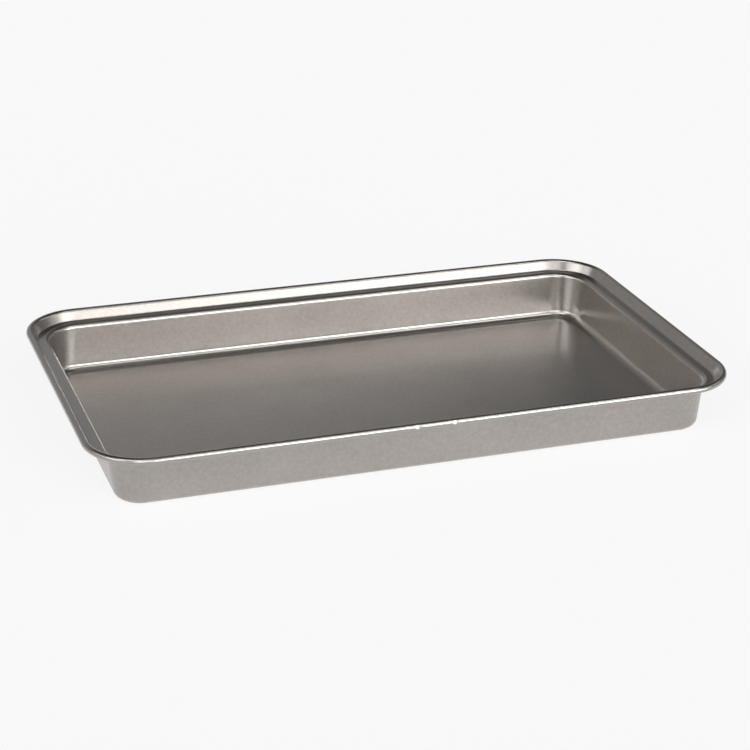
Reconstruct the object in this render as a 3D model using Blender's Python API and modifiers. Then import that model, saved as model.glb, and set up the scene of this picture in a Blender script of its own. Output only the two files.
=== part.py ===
"""A rectangular brownie pan, pressed from one sheet of steel.

The sheet's edge is rolled round a stiffening wire. Sizes are in metres and +Z is up.
The origin is the middle of the underside, and X runs along the long sides.
"""
import math
from typing import NamedTuple

import bmesh
import bpy
from mathutils import Vector

OBJECT_NAME = "brownie_pan"

# Overall size, measured outside the rolled rim
LENGTH = 0.380
WIDTH = 0.224
HEIGHT = 0.035

# Plan corners: outside the rolled rim, and at the edge of the flat floor
RIM_CORNER_RADIUS = 0.0339
FLOOR_CORNER_RADIUS = 0.0100

# Sheet steel, and the wire inside the rolled rim
SHEET = 0.0004
WIRE_DIAMETER = 0.0026
WIRE_CLEARANCE = 0.0003
WIRE_END_GAP = 0.0010
CURL_END_GAP = 0.0004

# Section through a side, from the wire's centre line inwards and down
FLANGE_WIDTH = 0.0043
FLANGE_DROP = 0.0046
LEDGE_WIDTH = 0.0066
LEDGE_RISE = 0.0004
WALL_DRAFT = math.radians(7.5)
GROOVE_RADIUS = 0.0009
EDGE_RADIUS = 0.0027
BOTTOM_RADIUS = 0.0053

# Colours and finish
COATED_STEEL = {"colour": (0.36, 0.34, 0.32), "roughness": 0.32}
BARE_WIRE = {"colour": (0.55, 0.55, 0.56), "roughness": 0.25}

# Facets
CORNER_STEPS = 9
BOTTOM_STEPS = 6
EDGE_STEPS = 4
GROOVE_STEPS = 3
CURL_STEPS_PER_QUARTER = 4
WIRE_BEVEL_RESOLUTION = 2
SMOOTH_ANGLE = math.radians(40)

# Sizes that follow from the others
HALF_SHEET = SHEET / 2
CURL_RADIUS = WIRE_DIAMETER / 2 + WIRE_CLEARANCE + HALF_SHEET
BEAD_RADIUS = CURL_RADIUS + HALF_SHEET
WIRE_HEIGHT = HEIGHT - BEAD_RADIUS
WIRE_CORNER_RADIUS = RIM_CORNER_RADIUS - BEAD_RADIUS


class Station(NamedTuple):
    """One ring of the sheet, by its place in the section and its plan corner radius."""
    inset: float
    height: float
    corner_radius: float


def clear_objects():
    for item in list(bpy.data.objects):
        bpy.data.objects.remove(item, do_unlink=True)


def metal(name, colour, roughness):
    material = bpy.data.materials.new(name)
    material.use_nodes = True
    shader = material.node_tree.nodes["Principled BSDF"]
    shader.inputs["Base Color"].default_value = (*colour, 1.0)
    shader.inputs["Metallic"].default_value = 1.0
    shader.inputs["Roughness"].default_value = roughness
    return material


def bend(before, corner, after, radius, steps):
    """Points of the arc that rounds a corner of the section, no longer than its two arms."""
    arm_in = (before - corner).normalized()
    arm_out = (after - corner).normalized()
    half_angle = arm_in.angle(arm_out) / 2
    longest = min((before - corner).length, (after - corner).length) / 2
    tangent = min(radius / math.tan(half_angle), longest)
    arc_radius = tangent * math.tan(half_angle)
    centre = corner + (arm_in + arm_out).normalized() * (arc_radius / math.sin(half_angle))
    start = corner + arm_in * tangent - centre
    end = corner + arm_out * tangent - centre
    return [centre + start.slerp(end, step / steps) * arc_radius for step in range(steps + 1)]


def flange_slope():
    """Slope of the flange, a tangent of the curl that ends in the corner of the groove."""
    reach = math.hypot(FLANGE_WIDTH, FLANGE_DROP)
    return math.atan2(FLANGE_DROP, FLANGE_WIDTH) + math.asin(CURL_RADIUS / reach)


def curl():
    """Section points of the rolled edge, from the flange over the outside to underneath."""
    start = math.pi / 2 - flange_slope()
    left_open = math.acos(1 - (SHEET + CURL_END_GAP) / CURL_RADIUS)
    end = start + 2 * math.pi - left_open
    quarters = [quarter * math.pi / 2 for quarter in range(1, 5)]
    stops = [start] + [angle for angle in quarters if start < angle < end] + [end]
    angles = [start]
    for first, last in zip(stops, stops[1:]):
        steps = max(1, round((last - first) / (math.pi / 2) * CURL_STEPS_PER_QUARTER))
        angles += [first + (last - first) * step / steps for step in range(1, steps + 1)]
    return [Vector((CURL_RADIUS * math.cos(angle), WIRE_HEIGHT + CURL_RADIUS * math.sin(angle)))
            for angle in angles]


def pan_stations():
    """The sheet's middle surface as stations, from the edge of the flat floor to the curl's end."""
    rolled = curl()
    groove = Vector((FLANGE_WIDTH, WIRE_HEIGHT - FLANGE_DROP))
    edge = groove + Vector((LEDGE_WIDTH, LEDGE_RISE))
    wall_foot = edge + Vector((math.tan(WALL_DRAFT), -1.0)) * (edge.y - HALF_SHEET)
    floor_middle = Vector((WIDTH / 2 - BEAD_RADIUS, HALF_SHEET))
    bottom_bend = bend(floor_middle, wall_foot, edge, BOTTOM_RADIUS - HALF_SHEET, BOTTOM_STEPS)
    edge_bend = bend(wall_foot, edge, groove, EDGE_RADIUS - HALF_SHEET, EDGE_STEPS)
    groove_bend = bend(edge, groove, rolled[0], GROOVE_RADIUS + HALF_SHEET, GROOVE_STEPS)

    floor_inset = bottom_bend[0].x
    spread = FLOOR_CORNER_RADIUS - (WIRE_CORNER_RADIUS - floor_inset)
    wall_top, wall_bottom = edge_bend[0].y, bottom_bend[-1].y
    stations = []
    for point in bottom_bend + edge_bend + groove_bend + rolled:
        down_wall = min(1.0, max(0.0, (wall_top - point.y) / (wall_top - wall_bottom)))
        stations.append(Station(point.x, point.y, WIRE_CORNER_RADIUS - point.x + spread * down_wall))
    return stations


def corner_arc(station):
    """Plan corner between +X and +Y of the ring at a station."""
    centre_x = LENGTH / 2 - BEAD_RADIUS - station.inset - station.corner_radius
    centre_y = WIDTH / 2 - BEAD_RADIUS - station.inset - station.corner_radius
    points = []
    for step in range(CORNER_STEPS + 1):
        angle = math.pi / 2 * step / CORNER_STEPS
        points.append(Vector((centre_x + station.corner_radius * math.cos(angle),
                              centre_y + station.corner_radius * math.sin(angle),
                              station.height)))
    return points


def quarter_ring(station):
    """The corner arc with half a side at each end, from the plane Y = 0 to the plane X = 0."""
    arc = corner_arc(station)
    first = Vector((arc[0].x, 0.0, station.height))
    last = Vector((0.0, arc[-1].y, station.height))
    return [first] + arc + [last]


def loft(shape, inner, outer):
    for index in range(len(inner) - 1):
        shape.faces.new((inner[index], outer[index], outer[index + 1], inner[index + 1]))


def make_pan_body(collection):
    """A lofted quarter of the sheet, mirrored twice and given its thickness."""
    shape = bmesh.new()
    rings = [[shape.verts.new(point) for point in quarter_ring(station)]
             for station in pan_stations()]
    floor_centre = shape.verts.new((0.0, 0.0, HALF_SHEET))
    shape.faces.new([floor_centre] + rings[0])
    for inner, outer in zip(rings, rings[1:]):
        loft(shape, inner, outer)
    mesh = bpy.data.meshes.new("pan_body")
    shape.to_mesh(mesh)
    shape.free()
    mesh.shade_smooth()
    mesh.set_sharp_from_angle(angle=SMOOTH_ANGLE)
    mesh.materials.append(metal("coated_steel", **COATED_STEEL))

    body = bpy.data.objects.new("pan_body", mesh)
    collection.objects.link(body)
    mirror = body.modifiers.new("Mirror", "MIRROR")
    mirror.use_axis = (True, True, False)
    mirror.merge_threshold = 0.0001
    sheet = body.modifiers.new("Sheet", "SOLIDIFY")
    sheet.thickness = SHEET
    sheet.offset = 0.0
    sheet.use_even_offset = True
    return body


def wire_route():
    """Centre line of the wire, from its right end in the middle of the front round to its left end."""
    arc = corner_arc(Station(0.0, WIRE_HEIGHT, WIRE_CORNER_RADIUS))
    front = -arc[-1].y
    right_end = Vector((WIRE_END_GAP / 2, front, WIRE_HEIGHT))
    left_end = Vector((-WIRE_END_GAP / 2, front, WIRE_HEIGHT))
    front_right = [Vector((point.x, -point.y, point.z)) for point in reversed(arc)]
    back_left = [Vector((-point.x, point.y, point.z)) for point in reversed(arc)]
    front_left = [Vector((-point.x, -point.y, point.z)) for point in arc]
    return [right_end] + front_right + arc + back_left + front_left + [left_end]


def make_rim_wire(collection):
    route = wire_route()
    curve = bpy.data.curves.new("rim_wire", "CURVE")
    curve.dimensions = "3D"
    curve.bevel_depth = WIRE_DIAMETER / 2
    curve.bevel_resolution = WIRE_BEVEL_RESOLUTION
    curve.use_fill_caps = True
    spline = curve.splines.new("POLY")
    spline.points.add(len(route) - 1)
    for place, point in zip(spline.points, route):
        place.co = (*point, 1.0)
    curve.materials.append(metal("bare_wire", **BARE_WIRE))
    wire = bpy.data.objects.new("rim_wire", curve)
    collection.objects.link(wire)
    return wire


def main():
    clear_objects()
    collection = bpy.data.collections.new(OBJECT_NAME)
    bpy.context.scene.collection.children.link(collection)
    make_pan_body(collection)
    make_rim_wire(collection)


main()
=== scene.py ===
"""Studio scene of a brownie pan: one pressed, coated steel sheet with a wire in its rolled rim."""

import math
from typing import NamedTuple

import bmesh
import bpy
from mathutils import Matrix, Vector


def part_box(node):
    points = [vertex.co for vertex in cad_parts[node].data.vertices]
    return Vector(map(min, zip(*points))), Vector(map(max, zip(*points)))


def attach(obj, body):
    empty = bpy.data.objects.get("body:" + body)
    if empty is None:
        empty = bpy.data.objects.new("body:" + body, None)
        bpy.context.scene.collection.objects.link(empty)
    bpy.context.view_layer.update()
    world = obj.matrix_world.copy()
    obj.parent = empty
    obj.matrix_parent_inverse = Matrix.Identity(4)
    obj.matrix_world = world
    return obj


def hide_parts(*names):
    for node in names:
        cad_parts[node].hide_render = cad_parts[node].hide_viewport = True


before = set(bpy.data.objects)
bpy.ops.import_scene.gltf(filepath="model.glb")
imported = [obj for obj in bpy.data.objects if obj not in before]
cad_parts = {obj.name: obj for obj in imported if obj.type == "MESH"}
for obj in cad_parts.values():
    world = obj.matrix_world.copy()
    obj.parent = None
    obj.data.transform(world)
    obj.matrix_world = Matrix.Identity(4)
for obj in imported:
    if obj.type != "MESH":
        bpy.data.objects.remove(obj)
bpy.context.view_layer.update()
bpy.ops.object.select_all(action="DESELECT")

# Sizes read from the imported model
PAN_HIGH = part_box("pan_body")[1]
WIRE_LOW, WIRE_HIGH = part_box("rim_wire")
WIRE_RADIUS = (WIRE_HIGH.z - WIRE_LOW.z) / 2
WIRE_HEIGHT = (WIRE_HIGH.z + WIRE_LOW.z) / 2
WIRE_HALF_LENGTH = WIRE_HIGH.x - WIRE_RADIUS
WIRE_HALF_WIDTH = WIRE_HIGH.y - WIRE_RADIUS
BEAD_RADIUS = PAN_HIGH.z - WIRE_HEIGHT

# Sheet and section, in metres, as the pan is pressed
SHEET = 0.0004
RIM_CORNER_RADIUS = 0.0339
FLOOR_CORNER_RADIUS = 0.0100
FLANGE_WIDTH = 0.0043
FLANGE_DROP = 0.0046
LEDGE_WIDTH = 0.0066
LEDGE_RISE = 0.0004
WALL_DRAFT = math.radians(7.5)
GROOVE_RADIUS = 0.0009
EDGE_RADIUS = 0.0027
BOTTOM_RADIUS = 0.0053
CURL_END_GAP = 0.0004

HALF_SHEET = SHEET / 2
CURL_RADIUS = BEAD_RADIUS - HALF_SHEET
WIRE_CORNER_RADIUS = RIM_CORNER_RADIUS - BEAD_RADIUS

# Fineness of the mesh
CORNER_SEGMENTS = 32
LONG_SIDE_CUTS = 30
SHORT_SIDE_CUTS = 15
BOTTOM_STEPS = 12
EDGE_STEPS = 9
GROOVE_STEPS = 7
CURL_STEPS_PER_QUARTER = 8
SUPPORT = 0.0003
SHARP_ANGLE = math.radians(40)

# An edge at least this share of a straight side long is the whole side, not yet cut
WHOLE_SIDE = 0.99

# Crimp marks, small flats pressed into the front bead, one on each side of the joint in the wire
CRIMP_PLACES = (-0.0118, 0.0100)
CRIMP_HALF_LENGTH = 0.0018
CRIMP_CUTS = 9
CRIMP_FINER_CUTS = 2
CRIMP_DEPTH = 0.00024
CRIMP_REACH = 0.00095
CRIMP_SLOPE = math.radians(12)
CRIMP_ROW_REACH = HALF_SHEET / 3

# Finishes: sizes in metres, colours as linear red, green and blue
GRAIN_SIZE = 0.0028
MOTTLE_SIZE = 0.0022
CLOUD_SIZE = 0.035
DRAW_MARK_SIZE = 0.0016
DRAW_MARK_STRETCH = (1.0, 1.0, 0.05)
GRAIN_DEPTH = 0.000012
MOTTLE_SHARE = 0.65
DRAW_MARK_SHARE = 0.3
NOISE_MIDDLE = (0.3, 0.7)
COATING_DARK = (0.338, 0.310, 0.285)
COATING_LIGHT = (0.428, 0.393, 0.362)
COATING_ROUGHNESS = (0.285, 0.325)
SKIN_ROUGHNESS = 0.17
SKIN_IOR = 2.0
WIRE_DARK = (0.50, 0.50, 0.51)
WIRE_LIGHT = (0.60, 0.60, 0.61)
WIRE_ROUGHNESS = (0.22, 0.34)

# White paper under the pan, just below it
FLOOR_SIZE = 12
FLOOR_HEIGHT = -0.0002
FLOOR_COLOUR = (0.93, 0.93, 0.93, 1.0)
FLOOR_ROUGHNESS = 0.9

# Share of plain white in what the camera sees of the floor, and in what the metal sees of it
FLOOR_WHITE_TO_CAMERA = 0.85
FLOOR_WHITE_TO_METAL = 0.40

# Grey walls and soft white panels round the pan, with fades in degrees. Each panel's numbers are
# its azimuth, elevation, half width and half height in degrees, and its strength
WALL_GREY = 0.21
PANEL_SIDE_FADE = 12.0
PANEL_TOP_FADE = 8.0
PANELS = {
    "low_front": (-60.0, 2.3, 22.5, 5.6, 9.6),
    "low_left_front": (-112.0, 5.0, 10.0, 7.7, 3.6),
    "low_left": (-152.0, 8.0, 14.0, 8.0, 1.2),
    "key": (-83.6, 23.0, 36.0, 6.5, 4.4),
    "key_middle": (-67.8, 19.0, 10.0, 3.2, 6.2),
    "key_right": (-16.0, 26.3, 31.0, 3.7, 1.6),
    "overhead_left": (-130.0, 52.8, 30.0, 3.2, 7.7),
    "overhead_right": (-70.0, 52.8, 30.0, 3.2, 3.8),
    "right": (-44.0, 51.0, 14.0, 3.6, 3.0),
    "top": (-50.0, 84.0, 72.0, 5.8, 1.0),
    "left_front": (-154.0, 27.0, 19.0, 8.0, 2.1),
    "left": (-174.0, 21.4, 30.0, 6.8, 1.8),
    "back": (107.0, 22.0, 40.0, 16.6, 0.22),
}

# Camera, from where the photograph was taken
CAMERA_PLACE = (-0.37115, -1.04345, 0.49372)
CAMERA_AZIMUTH = math.radians(-19.720)
CAMERA_ELEVATION = math.radians(23.301)
CAMERA_ROLL = math.radians(1.174)
CAMERA_LENS_MM = 97.20
CAMERA_SENSOR_MM = 36.0


class Station(NamedTuple):
    """One ring of the sheet, by its place in the section and its plan corner radius."""
    inset: float
    height: float
    corner_radius: float


def bend(before, corner, after, radius, steps):
    """Section points of the arc that rounds a corner, with a support point at each end."""
    arm_in = (before - corner).normalized()
    arm_out = (after - corner).normalized()
    half_angle = arm_in.angle(arm_out) / 2
    tangent = radius / math.tan(half_angle)
    centre = corner + (arm_in + arm_out).normalized() * (radius / math.sin(half_angle))
    start = corner + arm_in * tangent
    end = corner + arm_out * tangent
    arc = [centre + (start - centre).slerp(end - centre, step / steps) * radius
           for step in range(steps + 1)]
    return [start + arm_in * SUPPORT] + arc + [end + arm_out * SUPPORT]


def flange_slope():
    """Slope of the flange, a tangent of the curl that ends in the corner of the groove."""
    reach = math.hypot(FLANGE_WIDTH, FLANGE_DROP)
    return math.atan2(FLANGE_DROP, FLANGE_WIDTH) + math.asin(CURL_RADIUS / reach)


def curl():
    """Section points of the rolled edge, from the flange over the outside to underneath."""
    slope = flange_slope()
    start = math.pi / 2 - slope
    left_open = math.acos(1 - (SHEET + CURL_END_GAP) / CURL_RADIUS)
    turn = 2 * math.pi - left_open
    steps = round(turn / (math.pi / 2) * CURL_STEPS_PER_QUARTER)
    centre = Vector((0.0, WIRE_HEIGHT))
    points = []
    for step in range(steps + 1):
        angle = start + turn * step / steps
        points.append(centre + Vector((math.cos(angle), math.sin(angle))) * CURL_RADIUS)
    down_flange = Vector((math.cos(slope), -math.sin(slope)))
    return [points[0] + down_flange * SUPPORT] + points


def pan_stations():
    """The sheet's middle surface, from the edge of the flat floor to the curl's end."""
    rolled = curl()
    groove = Vector((FLANGE_WIDTH, WIRE_HEIGHT - FLANGE_DROP))
    edge = groove + Vector((LEDGE_WIDTH, LEDGE_RISE))
    wall_foot = edge + Vector((math.tan(WALL_DRAFT), -1.0)) * (edge.y - HALF_SHEET)
    floor_middle = Vector((WIRE_HALF_WIDTH, HALF_SHEET))
    bottom_bend = bend(floor_middle, wall_foot, edge, BOTTOM_RADIUS - HALF_SHEET, BOTTOM_STEPS)
    edge_bend = bend(wall_foot, edge, groove, EDGE_RADIUS - HALF_SHEET, EDGE_STEPS)
    groove_bend = bend(edge, groove, rolled[0], GROOVE_RADIUS + HALF_SHEET, GROOVE_STEPS)

    floor_inset = bottom_bend[1].x
    spread = FLOOR_CORNER_RADIUS - (WIRE_CORNER_RADIUS - floor_inset)
    wall_top, wall_bottom = edge_bend[0].y, bottom_bend[-1].y
    stations = []
    for point in bottom_bend + edge_bend + groove_bend + rolled:
        down_wall = min(1.0, max(0.0, (wall_top - point.y) / (wall_top - wall_bottom)))
        radius = WIRE_CORNER_RADIUS - point.x + spread * down_wall
        stations.append(Station(point.x, point.y, radius))
    return stations


def select_vertices(first, count):
    """Selects a run of vertices of the mesh that is being edited, with the edges between them."""
    mesh = bmesh.from_edit_mesh(bpy.context.edit_object.data)
    mesh.verts.ensure_lookup_table()
    for edge in mesh.edges:
        edge.select = False
    for vertex in mesh.verts:
        vertex.select = first <= vertex.index < first + count
    mesh.select_flush(True)
    bmesh.update_edit_mesh(bpy.context.edit_object.data)


def add_ring(station):
    """Adds one rounded rectangle of edges and returns how many vertices it has."""
    mesh = bpy.context.edit_object.data
    before = len(bmesh.from_edit_mesh(mesh).verts)
    half_length = WIRE_HALF_LENGTH - station.inset
    half_width = WIRE_HALF_WIDTH - station.inset
    bpy.ops.mesh.primitive_plane_add(size=2, location=(0, 0, station.height))
    bpy.ops.transform.resize(value=(half_length, half_width, 1))
    bpy.ops.mesh.bevel(offset=station.corner_radius, offset_type="OFFSET",
                       segments=CORNER_SEGMENTS, profile=0.5, affect="VERTICES")
    bpy.ops.mesh.delete(type="ONLY_FACE")
    for axis, cuts in ((0, LONG_SIDE_CUTS), (1, SHORT_SIDE_CUTS)):
        edit = bmesh.from_edit_mesh(mesh)
        edit.verts.ensure_lookup_table()
        straight = 2 * ((half_length, half_width)[axis] - station.corner_radius)
        for vertex in edit.verts:
            vertex.select = False
        edit.select_flush(False)
        for edge in edit.edges:
            fresh = edge.verts[0].index >= before
            along = abs(edge.verts[0].co[axis] - edge.verts[1].co[axis])
            edge.select = fresh and along > WHOLE_SIDE * straight
        bmesh.update_edit_mesh(mesh)
        bpy.ops.mesh.subdivide(number_cuts=cuts)
    return len(bmesh.from_edit_mesh(mesh).verts) - before


def start_mesh(name):
    """An empty mesh object, opened in edit mode."""
    bpy.ops.object.select_all(action="DESELECT")
    item = bpy.data.objects.new(name, bpy.data.meshes.new(name))
    bpy.context.scene.collection.objects.link(item)
    bpy.context.view_layer.objects.active = item
    item.select_set(True)
    bpy.ops.object.mode_set(mode="EDIT")
    bpy.ops.mesh.select_mode(type="VERT")
    return item


def apply_modifiers(item):
    bpy.context.view_layer.objects.active = item
    for modifier in list(item.modifiers):
        bpy.ops.object.modifier_apply(modifier=modifier.name)


def make_pan():
    """Rings along the section, bridged one after the other, with a floor and the sheet's thickness."""
    pan = start_mesh("pan_shell")
    stations = pan_stations()
    ring = 0
    for number, station in enumerate(stations):
        ring = add_ring(station)
        if number:
            select_vertices((number - 1) * ring, 2 * ring)
            bpy.ops.mesh.bridge_edge_loops()
    select_vertices(0, ring)
    bpy.ops.mesh.edge_face_add()
    bpy.ops.mesh.select_all(action="SELECT")
    bpy.ops.mesh.normals_make_consistent(inside=False)
    bpy.ops.object.mode_set(mode="OBJECT")
    sheet = pan.modifiers.new("Sheet", "SOLIDIFY")
    sheet.thickness = SHEET
    sheet.offset = 0.0
    sheet.use_even_offset = True
    apply_modifiers(pan)
    press_crimps(pan)
    bpy.ops.object.shade_smooth_by_angle(angle=SHARP_ANGLE)
    return pan


def select_along(place, half_length, reach):
    """Selects the vertices of the edited mesh within reach of a short line along X through a place."""
    mesh = bmesh.from_edit_mesh(bpy.context.edit_object.data)
    for vertex in mesh.verts:
        along, across = vertex.co.x - place.x, (vertex.co - place).yz.length
        vertex.select = abs(along) < half_length and across < reach
    mesh.select_flush(True)
    bmesh.update_edit_mesh(bpy.context.edit_object.data)


def press_crimp(place_along):
    """Cuts the front bead across, close together, and presses a small flat into it."""
    outward = Vector((0.0, -math.cos(CRIMP_SLOPE), math.sin(CRIMP_SLOPE)))
    middle = Vector((place_along, -WIRE_HALF_WIDTH, WIRE_HEIGHT))
    bpy.ops.mesh.select_mode(type="FACE")
    for cut in range(CRIMP_CUTS):
        x = place_along + CRIMP_HALF_LENGTH * (2 * cut / (CRIMP_CUTS - 1) - 1)
        mesh = bmesh.from_edit_mesh(bpy.context.edit_object.data)
        for face in mesh.faces:
            centre = face.calc_center_median()
            across = math.hypot(centre.y - middle.y, centre.z - middle.z)
            xs = [vertex.co.x for vertex in face.verts]
            face.select = across < BEAD_RADIUS + SHEET and min(xs) < x < max(xs)
        mesh.select_flush(True)
        bmesh.update_edit_mesh(bpy.context.edit_object.data)
        bpy.ops.mesh.bisect(plane_co=(x, 0, 0), plane_no=(1, 0, 0))
    bpy.ops.mesh.select_mode(type="VERT")
    select_along(middle + outward * BEAD_RADIUS, CRIMP_HALF_LENGTH, BEAD_RADIUS / 2)
    bpy.ops.mesh.subdivide(number_cuts=CRIMP_FINER_CUTS)
    select_along(middle + outward * BEAD_RADIUS, CRIMP_HALF_LENGTH / 2, CRIMP_ROW_REACH)
    bpy.ops.transform.translate(value=-CRIMP_DEPTH * outward, use_proportional_edit=True,
                                proportional_edit_falloff="INVERSE_SQUARE",
                                proportional_size=CRIMP_REACH)


def press_crimps(pan):
    bpy.context.view_layer.objects.active = pan
    bpy.ops.object.mode_set(mode="EDIT")
    for place_along in CRIMP_PLACES:
        press_crimp(place_along)
    bpy.ops.object.mode_set(mode="OBJECT")


def new_material(name):
    material = bpy.data.materials.new(name)
    material.use_nodes = True
    tree = material.node_tree
    return material, tree, tree.nodes["Principled BSDF"]


def object_place(tree, stretch=(1.0, 1.0, 1.0)):
    """Object coordinates in metres, stretched along the axes whose factor is below one."""
    place = tree.nodes.new("ShaderNodeTexCoord")
    mapping = tree.nodes.new("ShaderNodeMapping")
    mapping.inputs["Scale"].default_value = stretch
    tree.links.new(place.outputs["Object"], mapping.inputs["Vector"])
    return mapping.outputs["Vector"]


def noise(tree, place, cell_size, detail=2.0):
    """Noise between 0 and 1 whose cells are about cell_size metres across."""
    texture = tree.nodes.new("ShaderNodeTexNoise")
    texture.inputs["Scale"].default_value = 1.0 / cell_size
    texture.inputs["Detail"].default_value = detail
    tree.links.new(place, texture.inputs["Vector"])
    return texture.outputs["Fac"]


def spread(tree, value, low, high):
    """Maps the middle of a noise on the range from low to high."""
    ramp = tree.nodes.new("ShaderNodeMapRange")
    ramp.inputs["From Min"].default_value = NOISE_MIDDLE[0]
    ramp.inputs["From Max"].default_value = NOISE_MIDDLE[1]
    ramp.inputs["To Min"].default_value = low
    ramp.inputs["To Max"].default_value = high
    tree.links.new(value, ramp.inputs["Value"])
    return ramp.outputs["Result"]


def calculate(tree, operation, first, second):
    node = tree.nodes.new("ShaderNodeMath")
    node.operation = operation
    for socket, value in zip(node.inputs, (first, second)):
        if isinstance(value, float):
            socket.default_value = value
        else:
            tree.links.new(value, socket)
    return node.outputs["Value"]


def blend_colours(tree, factor, dark, light):
    mix = tree.nodes.new("ShaderNodeMix")
    mix.data_type = "RGBA"
    mix.inputs["A"].default_value = (*dark, 1.0)
    mix.inputs["B"].default_value = (*light, 1.0)
    tree.links.new(factor, mix.inputs["Factor"])
    return mix.outputs["Result"]


def relief(tree, height, depth):
    bump = tree.nodes.new("ShaderNodeBump")
    bump.inputs["Strength"].default_value = 1.0
    bump.inputs["Distance"].default_value = depth
    tree.links.new(height, bump.inputs["Height"])
    return bump.outputs["Normal"]


def satin_coating():
    """Grey coating on steel: a broad metallic sheen under a sharper skin, finely pebbled."""
    material, tree, shader = new_material("satin_coating")
    place = object_place(tree)
    pebbles = noise(tree, place, GRAIN_SIZE)
    mottle = noise(tree, place, MOTTLE_SIZE, 3.0)
    clouds = noise(tree, place, CLOUD_SIZE)
    draw_marks = noise(tree, object_place(tree, DRAW_MARK_STRETCH), DRAW_MARK_SIZE)

    fine = calculate(tree, "MULTIPLY", calculate(tree, "SUBTRACT", mottle, clouds), MOTTLE_SHARE)
    tone = calculate(tree, "ADD", clouds, fine)
    colour = blend_colours(tree, spread(tree, tone, 0.0, 1.0), COATING_DARK, COATING_LIGHT)
    tree.links.new(colour, shader.inputs["Base Color"])
    tree.links.new(spread(tree, mottle, *COATING_ROUGHNESS), shader.inputs["Roughness"])
    drawn = calculate(tree, "MULTIPLY", draw_marks, DRAW_MARK_SHARE)
    height = calculate(tree, "ADD", pebbles, drawn)
    for socket in ("Normal", "Coat Normal"):
        tree.links.new(relief(tree, height, GRAIN_DEPTH), shader.inputs[socket])
    shader.inputs["Metallic"].default_value = 1.0
    shader.inputs["Coat Weight"].default_value = 1.0
    shader.inputs["Coat Roughness"].default_value = SKIN_ROUGHNESS
    shader.inputs["Coat IOR"].default_value = SKIN_IOR
    return material


def tinned_wire():
    """Bright drawn wire with fine, uneven dulling."""
    material, tree, shader = new_material("tinned_wire")
    dulling = noise(tree, object_place(tree), MOTTLE_SIZE)
    colour = blend_colours(tree, spread(tree, dulling, 0.0, 1.0), WIRE_DARK, WIRE_LIGHT)
    tree.links.new(colour, shader.inputs["Base Color"])
    tree.links.new(spread(tree, dulling, *WIRE_ROUGHNESS), shader.inputs["Roughness"])
    shader.inputs["Metallic"].default_value = 1.0
    return material


def floor_finish():
    """White paper. Part of what the camera and the metal see of it is plain white, so it stays pale."""
    material, tree, shader = new_material("studio_floor")
    shader.inputs["Base Color"].default_value = FLOOR_COLOUR
    shader.inputs["Roughness"].default_value = FLOOR_ROUGHNESS
    shader.inputs["Specular IOR Level"].default_value = 0.0
    rays = tree.nodes.new("ShaderNodeLightPath")
    mirrored = calculate(tree, "MAXIMUM",
                         rays.outputs["Is Glossy Ray"], rays.outputs["Is Transmission Ray"])
    to_metal = calculate(tree, "MULTIPLY", mirrored, FLOOR_WHITE_TO_METAL)
    to_camera = calculate(tree, "MULTIPLY", rays.outputs["Is Camera Ray"], FLOOR_WHITE_TO_CAMERA)
    white = tree.nodes.new("ShaderNodeEmission")
    mix = tree.nodes.new("ShaderNodeMixShader")
    tree.links.new(calculate(tree, "MAXIMUM", to_metal, to_camera), mix.inputs["Fac"])
    tree.links.new(shader.outputs["BSDF"], mix.inputs[1])
    tree.links.new(white.outputs["Emission"], mix.inputs[2])
    tree.links.new(mix.outputs["Shader"], tree.nodes["Material Output"].inputs["Surface"])
    return material


def soft_band(tree, angle, middle, half_width, fade):
    """One within half_width of the middle angle and zero further off, with a soft step between."""
    turn = calculate(tree, "COSINE", calculate(tree, "SUBTRACT", angle, math.radians(middle)), 0.0)
    ramp = tree.nodes.new("ShaderNodeMapRange")
    ramp.interpolation_type = "SMOOTHSTEP"
    ramp.inputs["From Min"].default_value = math.radians(half_width + fade / 2)
    ramp.inputs["From Max"].default_value = math.radians(half_width - fade / 2)
    tree.links.new(calculate(tree, "ARCCOSINE", turn, 0.0), ramp.inputs["Value"])
    return ramp.outputs["Result"]


def soft_panel(tree, azimuth, elevation, panel):
    middle, height, half_width, half_height, strength = panel
    wide = soft_band(tree, azimuth, middle, half_width, PANEL_SIDE_FADE)
    high = soft_band(tree, elevation, height, half_height, PANEL_TOP_FADE)
    return calculate(tree, "MULTIPLY", calculate(tree, "MULTIPLY", wide, high), strength)


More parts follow.
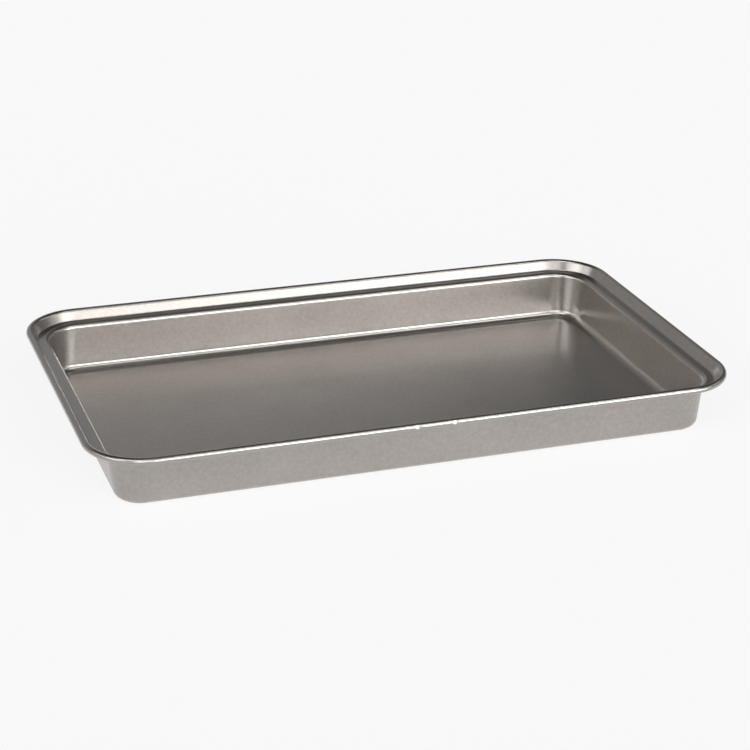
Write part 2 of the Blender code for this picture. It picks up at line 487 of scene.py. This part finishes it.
def studio_light():
    """World light by direction: dim grey walls with soft white panels. The camera sees white there."""
    world = bpy.data.worlds.new("studio_light")
    bpy.context.scene.world = world
    world.use_nodes = True
    tree = world.node_tree
    place = tree.nodes.new("ShaderNodeTexCoord")
    split = tree.nodes.new("ShaderNodeSeparateXYZ")
    tree.links.new(place.outputs["Generated"], split.inputs["Vector"])
    azimuth = calculate(tree, "ARCTAN2", split.outputs["Y"], split.outputs["X"])
    elevation = calculate(tree, "ARCSINE", split.outputs["Z"], 0.0)
    towards_floor = calculate(tree, "SUBTRACT", 1.0, split.outputs["Z"])
    light = calculate(tree, "MULTIPLY", towards_floor, WALL_GREY)
    for panel in PANELS.values():
        light = calculate(tree, "ADD", soft_panel(tree, azimuth, elevation, panel), light)
    rays = tree.nodes.new("ShaderNodeLightPath")
    light = calculate(tree, "MAXIMUM", rays.outputs["Is Camera Ray"], light)
    background = tree.nodes["Background"]
    background.inputs["Color"].default_value = (1.0, 1.0, 1.0, 1.0)
    tree.links.new(light, background.inputs["Strength"])


def make_stage():
    bpy.ops.mesh.primitive_plane_add(size=FLOOR_SIZE, location=(0, 0, FLOOR_HEIGHT))
    floor = bpy.context.object
    floor.name = "studio_floor"
    floor.data.materials.append(floor_finish())
    studio_light()


def make_camera():
    data = bpy.data.cameras.new("camera")
    data.sensor_width = CAMERA_SENSOR_MM
    data.lens = CAMERA_LENS_MM
    camera = bpy.data.objects.new("camera", data)
    bpy.context.scene.collection.objects.link(camera)
    turn = (Matrix.Rotation(CAMERA_AZIMUTH, 4, "Z")
            @ Matrix.Rotation(math.pi / 2 - CAMERA_ELEVATION, 4, "X")
            @ Matrix.Rotation(CAMERA_ROLL, 4, "Z"))
    camera.matrix_world = Matrix.Translation(CAMERA_PLACE) @ turn
    bpy.context.scene.camera = camera


pan = make_pan()
pan.data.materials.append(satin_coating())
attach(pan, "root")
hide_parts("pan_body")

bpy.data.objects["rim_wire"].material_slots[0].material = tinned_wire()

make_stage()
make_camera()
bpy.context.scene.view_settings.view_transform = "Standard"
